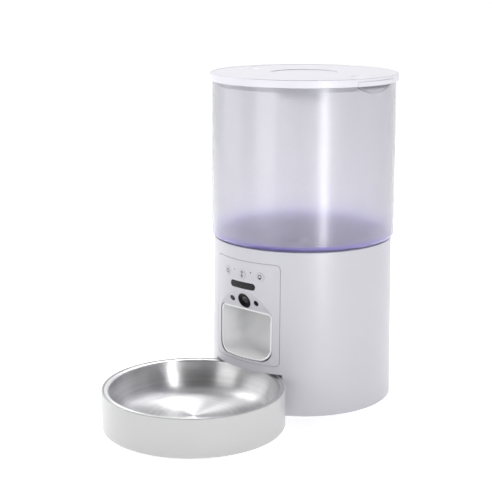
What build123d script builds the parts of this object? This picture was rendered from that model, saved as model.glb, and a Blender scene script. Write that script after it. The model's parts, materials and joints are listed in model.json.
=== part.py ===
from build123d import *

import os
from math import acos, cos, pi, radians, sin, tan

# Automatic pet feeder: a round base with the dosing drive, batteries and camera, a clear hopper with
# a lid on top, and a steel bowl in a tray that docks under the base's front edge.
# Millimetres. +Z is up, the front faces -Y, and the origin is on the base's axis, at the surface
# it stands on.
# Azimuths are degrees from the front, positive towards +X.

# ---- driving dimensions ----
total_height = 334.5
lid_radius = 95.0
base_top_radius = 91.3
base_foot_radius = 93.7
seam_height = 168.5
hopper_top_radius = 92.4
hopper_foot_radius = 94.3
bowl_offset = 160.0
tray_radius = 89.0
tray_height = 42.0
running_fit = 0.05

# ---- base ----
base_wall = 2.6
base_low = 1.5
base_high = seam_height - 0.3
flange_low = base_high - 2.6
flange_hole_radius = 84.0
seal_inner, seal_outer = 85.5, 88.2
seal_seat = base_high - 1.2
screw_azimuths = (-60, 60, -150, 150)
screw_circle = 87.4
plate_low, plate_high = 1.6, 4.0
foot_inner, foot_outer, foot_gap_angle = 74.0, 81.0, 40.0
foot_top = 2.6

# ---- docking recess for the tray ----
recess_radius = tray_radius + 1.5
recess_wall_radius = recess_radius + 2.3
recess_ceiling, recess_roof = 43.8, 46.1
tongue_half_width, tongue_low, tongue_high = 15.0, 6.0, 9.8

# ---- front panel ----
panel_half_angle = 27.0
panel_low, panel_high = 51.9, 154.5
panel_gap = 0.4
panel_thickness = 3.0
panel_corner = 5.0
facet_apex = 125.2
facet_tilt = 17.0
facet_thickness = 2.4
outlet_half_width = 35.0
outlet_low, outlet_high = 54.6, 104.5
outlet_top_corner, outlet_low_corner = 5.0, 12.0

# ---- controls and camera ----
button_radius = 4.4
button_height = 141.0
button_azimuths = {"power_button": -13.8, "wifi_button": 0.0, "feed_button": 13.8}
light_height = 144.3
light_azimuth = 6.9
light_radius = 0.75
window_width, window_tall, window_centre = 33.0, 7.0, 129.8
lens_height, lens_radius = 113.2, 8.0
infrared_radius, infrared_offset = 3.0, 16.0
board_front = 80.5

# ---- dosing cup and rotor ----
cup_under, cup_floor = 121.4, 124.0
cup_radius, ledge_radius, ledge_height = 47.0, 49.2, 145.2
drop_inner, drop_outer, drop_half_angle = 28.6, 45.5, 36.0
rotor_low, rotor_high, rotor_radius = 124.7, 144.4, 45.8
hub_radius = 11.0
paddle_count = 6
shaft_radius, shaft_flat = 4.0, 3.4
neck_inner, neck_outer, neck_low = 44.6, 46.7, 147.2

# ---- gear train, on a line behind the rotor's axis ----
wheel_module, motor_module = 1.0, 0.8
output_teeth, idler_pinion_teeth = 36, 12
idler_wheel_teeth, motor_teeth = 38, 12
idler_y = wheel_module * (output_teeth + idler_pinion_teeth) / 2
motor_y = idler_y + motor_module * (idler_wheel_teeth + motor_teeth) / 2
pressure_angle = 20.0
tooth_thinning = 0.12
gearbox_low, gearbox_floor, gearbox_high, gearbox_top = 101.0, 103.0, 117.0, 119.0
gearbox_circles = ((0, 21.0), (idler_y, 18.5), (motor_y, 14.0))
gearbox_ears = ((-25, 6), (25, 6), (-20, 40), (20, 40))
motor_radius, motor_low = 12.0, 72.0

# ---- battery bay ----
cell_radius, cell_length, cell_height = 16.5, 59.0, 21.1
cell_rows = (-21.2, 12.0, 45.2)
bay_half_width, bay_front, bay_back, bay_high, bay_wall = 34.2, -38.0, 62.0, 38.4, 1.8
door_pivot_y, door_pivot_z = 61.3, 2.8

# ---- tray and bowl ----
tray_low = 3.4
tray_wall = 2.2
rim_ledge_height = 40.5
rim_ledge_radius = 84.6
steel_thickness = 0.8

# ---- lid ----
lip_low = total_height - 7.6
lip_inner = lid_radius - 2.0
lid_plate_low, lid_surface = 331.8, 334.1
latch_half_width = 27.5
hopper_rim = 328.5
hopper_wall = 2.4
hopper_corner = 6.0
scoop_apex, scoop_tilt = 319.5, 27.6
liner_low = 322.0
gasket_high = 329.6

os.makedirs("parts", exist_ok=True)


def keep(piece, label):
    """Labels a finished piece and writes it to its own file."""
    piece.part.label = label
    export_step(piece.part, f"parts/{label}.step")


def base_radius(z):
    """The base's outside radius at height z."""
    return base_foot_radius + (base_top_radius - base_foot_radius) * z / seam_height


def radial_plane(azimuth):
    """An upright plane through the axis: its x runs outwards at this azimuth and its y runs up."""
    a = radians(azimuth)
    return Plane(origin=(0, 0, 0), x_dir=(sin(a), -cos(a), 0), z_dir=(-cos(a), -sin(a), 0))


def facing_plane(azimuth, radius, z):
    """A plane that faces outwards at this azimuth: its x runs to the right and its y runs up."""
    a = radians(azimuth)
    return Plane(
        origin=(radius * sin(a), -radius * cos(a), z),
        x_dir=(cos(a), sin(a), 0),
        z_dir=(sin(a), -cos(a), 0),
    )


def around(radius, azimuths):
    """Points on a circle about the axis, for Locations on a level plane."""
    return [(radius * sin(radians(a)), -radius * cos(radians(a))) for a in azimuths]


def wall_patch(half_angle, low, high, skin, depth, corner):
    """A piece of the base's wall between two depths below its outside, with rounded corners."""
    with BuildPart() as patch:
        with BuildSketch(radial_plane(-half_angle)):
            Polygon(
                (base_radius(low) - depth, low),
                (base_radius(low) - skin, low),
                (base_radius(high) - skin, high),
                (base_radius(high) - depth, high),
                align=None,
            )
        revolve(axis=Axis.Z, revolution_arc=2 * half_angle)
        corners = patch.edges().filter_by(GeomType.LINE).filter_by(lambda e: abs(e.tangent_at(0).Z) < 0.2)
        fillet(corners, radius=corner)
    return patch.part


def base_solid(skin=0.0):
    """The whole tapered volume inside the base's outside, less a skin."""
    with BuildPart() as solid:
        with BuildSketch(radial_plane(0)):
            Polygon(
                (0, 0),
                (base_radius(0) - skin, 0),
                (base_radius(seam_height) - skin, seam_height),
                (0, seam_height),
                align=None,
            )
        revolve(axis=Axis.Z)
    return solid.part


def wall_shell(skin, depth):
    """The base's whole wall between two depths below its outside."""
    return base_solid(skin) - base_solid(depth)


def gear_points(teeth, module, phase):
    """The outline of a spur gear with involute flanks; a tooth stands at the phase angle."""
    pitch = teeth * module / 2
    base = pitch * cos(radians(pressure_angle))
    tip = pitch + module
    root = pitch - 1.25 * module
    start = max(root + 0.05 * module, base)
    half_at_pitch = (pi * module / 2 - tooth_thinning) / 2 / pitch
    roll = tan(radians(pressure_angle)) - radians(pressure_angle)
    points = []
    for tooth in range(teeth):
        middle = radians(phase) + 2 * pi * tooth / teeth
        flank = []
        for step in range(4):
            radius = start + (tip - start) * step / 3
            angle = acos(min(1.0, base / radius))
            flank.append((radius, half_at_pitch + roll - (tan(angle) - angle)))
        left = [(root, flank[0][1] + 0.02)] + flank
        for radius, half in left:
            points.append((radius * cos(middle - half), radius * sin(middle - half)))
        for radius, half in reversed(left):
            points.append((radius * cos(middle + half), radius * sin(middle + half)))
    return points


facet_plane = Plane(
    origin=(0, -base_radius(facet_apex), facet_apex),
    x_dir=(1, 0, 0),
    z_dir=(0, -cos(radians(facet_tilt)), -sin(radians(facet_tilt))),
)
facet_length = (facet_apex - outlet_high) / cos(radians(facet_tilt))
lens_drop = (facet_apex - lens_height) / cos(radians(facet_tilt))
lens_plane = Plane(
    origin=facet_plane.from_local_coords((0, -lens_drop, 0)),
    x_dir=facet_plane.x_dir,
    z_dir=facet_plane.z_dir,
)
bowl_plane = Plane(origin=(0, -bowl_offset, 0), x_dir=(1, 0, 0), z_dir=(0, -1, 0))
bowl_axis = Axis((0, -bowl_offset, 0), (0, 0, 1))

# =====================================================================================
# Base shell: tapered wall, top flange with a seal seat, docking recess, openings
# =====================================================================================
panel_window = wall_patch(
    panel_half_angle + 0.25,
    panel_low - panel_gap,
    panel_high + panel_gap,
    -2.0,
    base_wall + 3.0,
    panel_corner + panel_gap,
)

with BuildPart() as base_shell:
    with BuildSketch(radial_plane(0)):
        Polygon(
            (base_radius(base_low) - base_wall, base_low),
            (base_radius(base_low), base_low),
            (base_radius(base_high), base_high),
            (seal_outer + 0.2, base_high),
            (seal_outer + 0.2, seal_seat),
            (seal_inner - 0.1, seal_seat),
            (seal_inner - 0.1, base_high),
            (flange_hole_radius, base_high),
            (flange_hole_radius, flange_low),
            (base_radius(flange_low) - base_wall, flange_low),
            align=None,
        )
    revolve(axis=Axis.Z)
    circles = base_shell.edges().filter_by(GeomType.CIRCLE)
    fillet(circles.group_by(Axis.Z)[-1].sort_by(SortBy.RADIUS)[-1], radius=0.9)
    fillet(circles.group_by(Axis.Z)[0].sort_by(SortBy.RADIUS)[-1], radius=0.6)
    # The recess's wall and roof close the base behind the tray.
    with BuildSketch(Plane.XY.offset(base_low)):
        with Locations((0, -bowl_offset)):
            Circle(recess_wall_radius)
        Circle(base_radius(0) - base_wall / 2, mode=Mode.INTERSECT)
    extrude(amount=recess_roof - base_low)
    with BuildSketch(Plane.XY):
        with Locations((0, -bowl_offset)):
            Circle(recess_radius)
    extrude(amount=recess_ceiling, mode=Mode.SUBTRACT)
    # Slot in the recess wall for the tray's tongue.
    with BuildSketch(Plane.XY.offset(tongue_low - 0.4)):
        with Locations((0, -bowl_offset + recess_radius)):
            Rectangle(2 * tongue_half_width + 1.4, 12)
    extrude(amount=tongue_high - tongue_low + 0.8, mode=Mode.SUBTRACT)
    # Bosses for the base plate's screws.
    with BuildSketch(Plane.XY.offset(plate_high + 0.1)):
        with Locations(*around(screw_circle, screw_azimuths)):
            Circle(4.4)
        Circle(base_radius(0) - base_wall / 2, mode=Mode.INTERSECT)
    extrude(amount=18)
    with BuildSketch(Plane.XY.offset(plate_high)):
        with Locations(*around(screw_circle, screw_azimuths)):
            Circle(1.3)
    extrude(amount=14, mode=Mode.SUBTRACT)
    # Collar for the speaker, inside the back.
    with BuildSketch(Plane.XZ.offset(-80)):
        with Locations((0, 120)):
            Circle(20)
            Circle(18.4, mode=Mode.SUBTRACT)
    extrude(amount=-9.6)
    # Window for the front panel.
    add(panel_window, mode=Mode.SUBTRACT)
    # Speaker slots and power inlet at the back.
    with BuildSketch(Plane.XZ.offset(-base_foot_radius - 2)):
        for column in range(-3, 4):
            with Locations((column * 4.4, 120)):
                SlotOverall(28 - 3 * abs(column), 2.0, rotation=90)
        with Locations((0, 15)):
            Circle(5.0)
    extrude(amount=12, mode=Mode.SUBTRACT)
keep(base_shell, "base_shell")

# Bottom cover: closes the shell from below and carries the batteries, the board and the foot ring.
door_rear_gap = 1.6
with BuildPart() as base_plate:
    with BuildSketch(Plane.XY.offset(plate_low)):
        Circle(base_radius(0) - base_wall - 0.4)
        with Locations((0, -bowl_offset)):
            Circle(recess_wall_radius + 0.3, mode=Mode.SUBTRACT)
        with Locations((0, (bay_front + door_pivot_y + door_rear_gap) / 2)):
            Rectangle(2 * bay_half_width, door_pivot_y + door_rear_gap - bay_front, mode=Mode.SUBTRACT)
        with Locations(*around(screw_circle, screw_azimuths)):
            Circle(1.6, mode=Mode.SUBTRACT)
    extrude(amount=plate_high - plate_low)
    with BuildSketch(Plane.XY.offset(plate_low)):
        with Locations(*around(screw_circle, screw_azimuths)):
            Circle(2.9)
    extrude(amount=1.2, mode=Mode.SUBTRACT)
    # Groove for the foot ring.
    with BuildSketch(radial_plane(foot_gap_angle - 0.5)):
        Polygon(
            (foot_inner - 0.1, plate_low),
            (foot_outer + 0.1, plate_low),
            (foot_outer + 0.1, foot_top),
            (foot_inner - 0.1, foot_top),
            align=None,
        )
    revolve(axis=Axis.Z, revolution_arc=360 - 2 * foot_gap_angle + 1, mode=Mode.SUBTRACT)
    # Two slotted posts hold the control board.
    with BuildSketch(Plane.XY.offset(plate_high)):
        with Locations((-31, 72.8), (31, 72.8)):
            Rectangle(5, 6)
    extrude(amount=60)
    with BuildSketch(Plane.XY.offset(46)):
        with Locations((0, 72.8)):
            Rectangle(62, 1.7)
    extrude(amount=30, mode=Mode.SUBTRACT)
    # Bosses round the door's pins, and the pins' holes.
    with BuildSketch(Plane.XY.offset(plate_high)):
        with Locations((-38, door_pivot_y), (38, door_pivot_y)):
            Rectangle(3.2, 5)
    extrude(amount=1.6)
    with BuildSketch(Plane.YZ.offset(-38)):
        with Locations((door_pivot_y, door_pivot_z)):
            Circle(0.85)
    extrude(amount=76, mode=Mode.SUBTRACT)
keep(base_plate, "base_plate")

with BuildPart() as foot_ring:
    with BuildSketch(radial_plane(foot_gap_angle)):
        Polygon(
            (foot_inner, 0),
            (foot_outer, 0),
            (foot_outer, foot_top),
            (foot_inner, foot_top),
            align=None,
        )
    revolve(axis=Axis.Z, revolution_arc=360 - 2 * foot_gap_angle)
keep(foot_ring, "foot_ring")

with BuildPart() as plate_screws:
    with BuildSketch(Plane.XY.offset(plate_low + 0.05)):
        with Locations(*around(screw_circle, screw_azimuths)):
            Circle(2.8)
    extrude(amount=1.15)
    with BuildSketch(Plane.XY.offset(plate_low + 1.2)):
        with Locations(*around(screw_circle, screw_azimuths)):
            Circle(1.25)
    extrude(amount=12)
    with BuildSketch(Plane.XY.offset(plate_low)):
        with Locations(*around(screw_circle, screw_azimuths)):
            Rectangle(3.2, 0.7)
            Rectangle(0.7, 3.2)
    extrude(amount=0.7, mode=Mode.SUBTRACT)
keep(plate_screws, "plate_screws")

# =====================================================================================
# Front panel: flush with the wall, with a facet that tips the camera down at the bowl
# =====================================================================================
with BuildPart() as facet_slab:
    with BuildSketch(facet_plane.offset(-facet_thickness)):
        with Locations((0, -facet_length / 2)):
            Rectangle(74, facet_length + 3)
    extrude(amount=facet_thickness)
    add(base_solid(), mode=Mode.INTERSECT)

panel_skin = wall_patch(panel_half_angle, panel_low, panel_high, 0, panel_thickness, panel_corner)
panel_frame = wall_patch(31.0, 48.6, 157.4, base_wall + 0.1, base_wall + 2.1, 6.0)
frame_hole = wall_patch(25.4, 60.0, 150.6, panel_thickness + 0.01, base_wall + 4.0, 3.0)

with BuildPart() as front_panel:
    add(panel_skin)
    # A frame behind the shell's wall holds the panel from inside.
    add(panel_frame)
    add(frame_hole, mode=Mode.SUBTRACT)
    # Everything in front of the facet goes, then the facet's own wall comes in.
    with BuildSketch(facet_plane):
        with Locations((0, -facet_length / 2)):
            Rectangle(2 * outlet_half_width - 0.6, facet_length + 2)
    extrude(amount=14, mode=Mode.SUBTRACT)
    add(facet_slab.part)
    # The outlet, with tight upper and generous lower corners.
    with BuildSketch(Plane.XZ.offset(50)) as outlet:
        with Locations((0, (outlet_low + outlet_high) / 2)):
            Rectangle(2 * outlet_half_width, outlet_high - outlet_low)
        fillet(outlet.vertices().group_by(Axis.Y)[-1], radius=outlet_top_corner)
        fillet(outlet.vertices().group_by(Axis.Y)[0], radius=outlet_low_corner)
    extrude(amount=60, mode=Mode.SUBTRACT)
    # Camera and infrared openings in the facet.
    with BuildSketch(lens_plane.offset(1)):
        Circle(lens_radius + 0.1)
        with Locations((-infrared_offset, 0), (infrared_offset, 0)):
            Circle(infrared_radius + 0.1)
    extrude(amount=-8, mode=Mode.SUBTRACT)
    # Sensor window slot, button holes, status light and microphone.
    with BuildSketch(facing_plane(0, 100, window_centre)):
        SlotOverall(window_width, window_tall)
    extrude(amount=-20, mode=Mode.SUBTRACT)
    for azimuth in button_azimuths.values():
        with BuildSketch(facing_plane(azimuth, 100, button_height)):
            Circle(button_radius + 0.15)
        extrude(amount=-20, mode=Mode.SUBTRACT)
    for azimuth in (-light_azimuth, light_azimuth):
        with BuildSketch(facing_plane(azimuth, 100, light_height)):
            Circle(light_radius)
        extrude(amount=-20, mode=Mode.SUBTRACT)
keep(front_panel, "front_panel")

# =====================================================================================
# Chute: a slide that falls from the drop hole and curves out to a shallow lip at the outlet
# =====================================================================================
chute_back, chute_front = -21.6, -96.0
chute_wall = 1.4
chute_limit = base_solid(0.9)


def chute_volume(inset, reach):
    """The space the chute takes up, less an inset, with its mouth and top moved out by a reach."""
    with BuildPart() as volume:
        with BuildSketch(Plane.YZ) as side_view:
            Polygon(
                (chute_back, cup_under + reach),
                (chute_back, 113.5),
                (-64.0, 58.8),
                (chute_front - reach, 54.4),
                (chute_front - reach, outlet_high - 0.3),
                (-82, outlet_high - 0.3),
                (-49, 111.5),
                (-49, cup_under + reach),
                align=None,
            )
            if inset:
                offset(amount=-inset, kind=Kind.INTERSECTION)
            slide_foot = side_view.vertices().sort_by_distance((-64.0, 58.8))[0]
            fillet(slide_foot, radius=22 - inset)
        extrude(amount=outlet_half_width - 0.25 - inset, both=True)
        with BuildSketch(Plane.XY):
            Polygon(
                (inset - outlet_half_width, chute_front - reach),
                (outlet_half_width - inset, chute_front - reach),
                (29.2 - inset, chute_back),
                (inset - 29.2, chute_back),
                align=None,
            )
        extrude(amount=cup_under + reach, mode=Mode.INTERSECT)
        slopes = volume.edges().filter_by(lambda e: abs(e.tangent_at(0.5).Y) > 0.3)
        sides = slopes.filter_by(lambda e: abs(e.center().X) > 25)
        fillet(sides.filter_by(lambda e: e.center().Z < 100), radius=outlet_low_corner + 1 - inset)
        fillet(sides.filter_by(lambda e: e.center().Z > 102), radius=outlet_top_corner - inset)
    return volume.part


chute_inside = chute_volume(chute_wall, 3.0)
with BuildPart() as chute:
    add(chute_volume(0, 0))
    add(chute_inside, mode=Mode.SUBTRACT)
    add(chute_limit, mode=Mode.INTERSECT)
    # The roof stops behind the facet.
    with BuildSketch(Plane.XY.offset(outlet_high - 8)):
        with Locations((0, -92)):
            Rectangle(80, 14.2)
    extrude(amount=20, mode=Mode.SUBTRACT)
keep(chute, "chute")

# =====================================================================================
# Camera, infrared lamps, sensor window, status light and microphone
# =====================================================================================
with BuildPart() as camera_bezel:
    with BuildSketch(lens_plane.offset(-facet_thickness)):
        Circle(lens_radius)
    extrude(amount=facet_thickness + 0.5)
    bezel_circles = camera_bezel.edges().filter_by(GeomType.CIRCLE)
    chamfer(bezel_circles.sort_by_distance(lens_plane.origin + lens_plane.z_dir)[0:1],
            length=0.35)
    # Stepped rings run down to the lens.
    for radius, depth in ((6.6, 0.9), (5.4, 1.6), (4.3, 5.0)):
        with BuildSketch(lens_plane.offset(0.6)):
            Circle(radius)
        extrude(amount=-depth - 0.1, mode=Mode.SUBTRACT)
keep(camera_bezel, "camera_bezel")

with BuildPart() as camera_lens:
    with BuildSketch(lens_plane.offset(-facet_thickness)):
        Circle(4.25)
    extrude(amount=1.2)
    lens_circles = camera_lens.edges().filter_by(GeomType.CIRCLE)
    fillet(lens_circles.sort_by_distance(lens_plane.origin)[0:1], radius=1.1)
keep(camera_lens, "camera_lens")

housing_depth = 12.0
with BuildPart() as camera_housing:
    with BuildSketch(lens_plane.offset(-facet_thickness)):
        Circle(9.4)
        Circle(6.2, mode=Mode.SUBTRACT)
    extrude(amount=-housing_depth)
keep(camera_housing, "camera_housing")

with BuildPart() as camera_board:
    with BuildSketch(lens_plane.offset(-facet_thickness - housing_depth)):
        Rectangle(20, 18)
    extrude(amount=-1.2)
    with BuildSketch(lens_plane.offset(-facet_thickness - housing_depth)):
        Circle(6.0)
    extrude(amount=housing_depth)
    with BuildSketch(lens_plane.offset(-facet_thickness - housing_depth - 1.2)):
        Rectangle(9, 9)
    extrude(amount=-1.4)
keep(camera_board, "camera_board")

with BuildPart() as infrared_lamps:
    with BuildSketch(lens_plane.offset(-facet_thickness - 1.5)):
        with Locations((-infrared_offset, 0), (infrared_offset, 0)):
            Circle(infrared_radius)
    extrude(amount=facet_thickness + 1.7)
    lamp_circles = infrared_lamps.edges().filter_by(GeomType.CIRCLE)
    fronts = lamp_circles.group_by(Axis(lens_plane.origin, lens_plane.z_dir))[-1]
    fillet(fronts, radius=0.5)
keep(infrared_lamps, "infrared_lamps")

window_skin = wall_shell(0.15, 3.6)
with BuildPart() as sensor_window:
    with BuildSketch(facing_plane(0, 70, window_centre)):
        SlotOverall(window_width - 0.3, window_tall - 0.3)
    extrude(amount=40)
    add(window_skin, mode=Mode.INTERSECT)
keep(sensor_window, "sensor_window")

pipe_limit = base_solid(0.1)
for label, azimuth in (("status_light", -light_azimuth), ("microphone", light_azimuth)):
    with BuildPart() as pip:
        with BuildSketch(facing_plane(azimuth, board_front + 1.6, light_height)):
            Circle(light_radius - 0.05)
        extrude(amount=14)
        add(pipe_limit, mode=Mode.INTERSECT)
    keep(pip, label)

# =====================================================================================
# Buttons and their board
# =====================================================================================
button_limit = base_solid(-0.25)
flange_out = base_radius(button_height) - panel_thickness - 0.3
switch_top = 3.0
for label, azimuth in button_azimuths.items():
    stem_end = (board_front + switch_top + 1.0) / cos(radians(azimuth))
    with BuildPart() as button:
        with BuildSketch(facing_plane(azimuth, flange_out - 1.0, button_height)):
            Circle(button_radius)
        extrude(amount=10)
        add(button_limit, mode=Mode.INTERSECT)
        with BuildSketch(facing_plane(azimuth, flange_out - 1.0, button_height)):
            Circle(button_radius + 1.0)
        extrude(amount=1.0)
        with BuildSketch(facing_plane(azimuth, stem_end, button_height)):
            Circle(1.5)
        extrude(amount=flange_out - stem_end)
    keep(button, label)

switch_spots = [(stem * sin(radians(a)), button_height)
                for a, stem in ((a, board_front / cos(radians(a))) for a in button_azimuths.values())]
with BuildPart() as button_board:
    with BuildSketch(Plane.XZ.offset(board_front)):
        with Locations((0, button_height + 1)):
            RectangleRounded(56, 14, 1.5)
    extrude(amount=-1.6)
    with BuildSketch(Plane.XZ.offset(board_front)):
        with Locations(*switch_spots):
            Rectangle(6, 6)
    extrude(amount=switch_top - 0.8)
    with BuildSketch(Plane.XZ.offset(board_front)):
        with Locations(*switch_spots):
            Circle(1.6)
    extrude(amount=switch_top)
keep(button_board, "button_board")

# =====================================================================================
# Dosing cup: the deck under the hopper, the cup the rotor turns in, and the drop hole
# =====================================================================================
deck_radius, deck_low = 87.8, flange_low - 2.4
drop_wedge = [(0, 0)] + around(80, (-drop_half_angle, drop_half_angle))

with BuildPart() as rotor_cup:
    with BuildSketch(radial_plane(0)):
        Polygon(
            (6.5, cup_under),
            (cup_radius + 2, cup_under),
            (cup_radius + 2, 142.8),
            (ledge_radius + 2, 145.0),
            (ledge_radius + 2, 147.0),
            (82.2, deck_low),
            (deck_radius, deck_low),
            (deck_radius, flange_low),
            (82.2, flange_low),
            (ledge_radius, 148.6),
            (ledge_radius, ledge_height),
            (cup_radius, ledge_height),
            (cup_radius, cup_floor),
            (6.5, cup_floor),
            align=None,
        )
    revolve(axis=Axis.Z)
    with BuildSketch(Plane.XY.offset(cup_under - 1)) as drop_hole:
        Circle(drop_outer)
        Circle(drop_inner, mode=Mode.SUBTRACT)
        Polygon(*drop_wedge, align=None, mode=Mode.INTERSECT)
        fillet(drop_hole.vertices(), radius=3)
    extrude(amount=6, mode=Mode.SUBTRACT)
    # Bosses for the gearbox.
    with BuildSketch(Plane.XY.offset(gearbox_top)):
        with Locations(*gearbox_ears):
            Circle(3.8)
    extrude(amount=cup_under - gearbox_top)
    with BuildSketch(Plane.XY.offset(gearbox_top)):
        with Locations(*gearbox_ears):
            Circle(1.25)
    extrude(amount=4.0, mode=Mode.SUBTRACT)
    with BuildSketch(Plane.XY.offset(deck_low - 1)):
        with Locations(*around(86.0, (-45, 45, 135, 225))):
            Circle(1.35)
    extrude(amount=5, mode=Mode.SUBTRACT)
keep(rotor_cup, "rotor_cup")

with BuildPart() as cup_screws:
    with BuildSketch(Plane.XY.offset(deck_low - 1.5)):
        with Locations(*around(86.0, (-45, 45, 135, 225))):
            Circle(2.4)
    extrude(amount=1.5)
    with BuildSketch(Plane.XY.offset(deck_low)):
        with Locations(*around(86.0, (-45, 45, 135, 225))):
            Circle(1.3)
    extrude(amount=flange_low - deck_low)
    with BuildSketch(Plane.XY.offset(deck_low - 1.5)):
        with Locations(*around(86.0, (-45, 45, 135, 225))):
            Rectangle(2.8, 0.6)
            Rectangle(0.6, 2.8)
    extrude(amount=0.6, mode=Mode.SUBTRACT)
keep(cup_screws, "cup_screws")

# The baffle keeps food from falling straight through the drop hole.
with BuildPart() as portion_baffle:
    with BuildSketch(Plane.XY.offset(ledge_height)):
        Circle(ledge_radius - 0.1)
        Circle(neck_inner, mode=Mode.SUBTRACT)
    extrude(amount=1.6)
    with BuildSketch(Plane.XY.offset(ledge_height)):
        Circle(neck_inner + 1)
        Polygon((0, 0), *around(80, (-44, 44)), align=None, mode=Mode.INTERSECT)
        Circle(12.2, mode=Mode.SUBTRACT)
    extrude(amount=1.6)
keep(portion_baffle, "portion_baffle")

# =====================================================================================
# Rotor, agitator and drive shaft
# =====================================================================================
with BuildPart() as metering_rotor:
    with BuildSketch(Plane.XY.offset(rotor_low)):
        Circle(hub_radius)
        with PolarLocations(rotor_radius / 2, paddle_count):
            Rectangle(rotor_radius - 4, 2.4)
        with PolarLocations(rotor_radius - 2, paddle_count):
            SlotOverall(8, 4.0, rotation=90)
    extrude(amount=rotor_high - rotor_low)
    # Bore for the shaft with its flat, room for the seal, and a seat for the agitator's spigot.
    with BuildSketch(Plane.XY.offset(rotor_low)):
        Circle(shaft_radius + running_fit)
        with Locations((shaft_radius + shaft_flat + running_fit, 0)):
            Rectangle(2 * shaft_radius, 2 * shaft_radius, mode=Mode.SUBTRACT)
    extrude(amount=16.5, mode=Mode.SUBTRACT)
    with BuildSketch(Plane.XY.offset(rotor_low)):
        Circle(7.8)
    extrude(amount=2.4, mode=Mode.SUBTRACT)
    with BuildSketch(Plane.XY.offset(rotor_high)):
        Circle(5.0 + running_fit)
    extrude(amount=-2.8, mode=Mode.SUBTRACT)
keep(metering_rotor, "metering_rotor")

with BuildPart() as agitator:
    with BuildSketch(radial_plane(0)):
        Polygon(
            (0, rotor_high - 2.6),
            (5.0, rotor_high - 2.6),
            (5.0, rotor_high),
            (9.5, rotor_high),
            (9.5, 152),
            (3.0, 161),
            (0, 161),
            align=None,
        )
    revolve(axis=Axis.Z)
    with BuildSketch(Plane.XY.offset(150.5)):
        with PolarLocations(22, 3):
            SlotOverall(38, 4.0)
    extrude(amount=3.6)
    fillet(agitator.edges().filter_by(GeomType.CIRCLE).sort_by(Axis.Z)[-1], radius=2)
keep(agitator, "agitator")

with BuildPart() as drive_shaft:
    with BuildSketch(Plane.XY.offset(gearbox_low)):
        Circle(shaft_radius)
    extrude(amount=40)
    for low, high in ((104.5, 112.0), (rotor_low + 2.4, 141.0)):
        with BuildSketch(Plane.XY.offset(low)):
            with Locations((shaft_radius + shaft_flat, 0)):
                Rectangle(2 * shaft_radius, 2 * shaft_radius)
        extrude(amount=high - low, mode=Mode.SUBTRACT)
keep(drive_shaft, "drive_shaft")

with BuildPart() as shaft_bush:
    with BuildSketch(Plane.XY.offset(cup_under - 1.6)):
        Circle(8.4)
        Circle(shaft_radius + running_fit, mode=Mode.SUBTRACT)
    extrude(amount=1.6)
    with BuildSketch(Plane.XY.offset(cup_under)):
        Circle(6.5)
        Circle(shaft_radius + running_fit, mode=Mode.SUBTRACT)
    extrude(amount=cup_floor - cup_under)
keep(shaft_bush, "shaft_bush")

with BuildPart() as shaft_seal:
    with BuildSketch(radial_plane(0)):
        Polygon(
            (shaft_radius + running_fit, cup_floor),
            (7.3, cup_floor),
            (7.3, cup_floor + 1.0),
            (5.4, cup_floor + 2.4),
            (shaft_radius + running_fit, cup_floor + 2.4),
            align=None,
        )
    revolve(axis=Axis.Z)
keep(shaft_seal, "shaft_seal")

# =====================================================================================
# Gearbox: output gear, compound idler, motor pinion, and the case round them
# =====================================================================================
output_low, output_high = 104.6, 109.6
with BuildPart() as output_gear:
    with BuildSketch(Plane.XY.offset(output_low)):
        Polygon(*gear_points(output_teeth, wheel_module, 90), align=None)
    extrude(amount=output_high - output_low)
    with BuildSketch(Plane.XY.offset(output_low)):
        Circle(7)
    extrude(amount=output_high - output_low + 2.0)
    with BuildSketch(Plane.XY.offset(output_low)):
        Circle(shaft_radius + running_fit)
        with Locations((shaft_radius + shaft_flat + running_fit, 0)):
            Rectangle(2 * shaft_radius, 2 * shaft_radius, mode=Mode.SUBTRACT)
    extrude(amount=10, mode=Mode.SUBTRACT)
    with BuildSketch(Plane.XY.offset(output_low)):
        with PolarLocations(11.5, 6):
            Circle(2.6)
    extrude(amount=10, mode=Mode.SUBTRACT)
keep(output_gear, "output_gear")

idler_half_tooth = 180 / idler_pinion_teeth
with BuildPart() as idler_gear:
    with BuildSketch(Plane.XY.offset(output_low - 0.4)):
        with Locations((0, idler_y)):
            Polygon(*gear_points(idler_pinion_teeth, wheel_module, -90 + idler_half_tooth), align=None)
    extrude(amount=output_high - output_low + 2.2)
    with BuildSketch(Plane.XY.offset(output_high + 1.8)):
        with Locations((0, idler_y)):
            Polygon(*gear_points(idler_wheel_teeth, motor_module, 90), align=None)
    extrude(amount=4.0)
    with BuildSketch(Plane.XY.offset(output_low - 0.4)):
        with Locations((0, idler_y)):
            Circle(2 + running_fit)
    extrude(amount=14, mode=Mode.SUBTRACT)
keep(idler_gear, "idler_gear")

with BuildPart() as idler_pin:
    with BuildSketch(Plane.XY.offset(gearbox_floor - 1.4)):
        with Locations((0, idler_y)):
            Circle(2)
    extrude(amount=gearbox_top - gearbox_floor + 0.6)
keep(idler_pin, "idler_pin")

motor_half_tooth = 180 / motor_teeth
with BuildPart() as motor_pinion:
    with BuildSketch(Plane.XY.offset(output_high + 1.5)):
        with Locations((0, motor_y)):
            Polygon(*gear_points(motor_teeth, motor_module, -90 + motor_half_tooth), align=None)
            Circle(1.5, mode=Mode.SUBTRACT)
    extrude(amount=4.6)
keep(motor_pinion, "motor_pinion")

with BuildPart() as motor_shaft:
    with BuildSketch(Plane.XY.offset(96)):
        with Locations((0, motor_y)):
            Circle(1.5)
    extrude(amount=gearbox_high - 0.8 - 96)
keep(motor_shaft, "motor_shaft")

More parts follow.
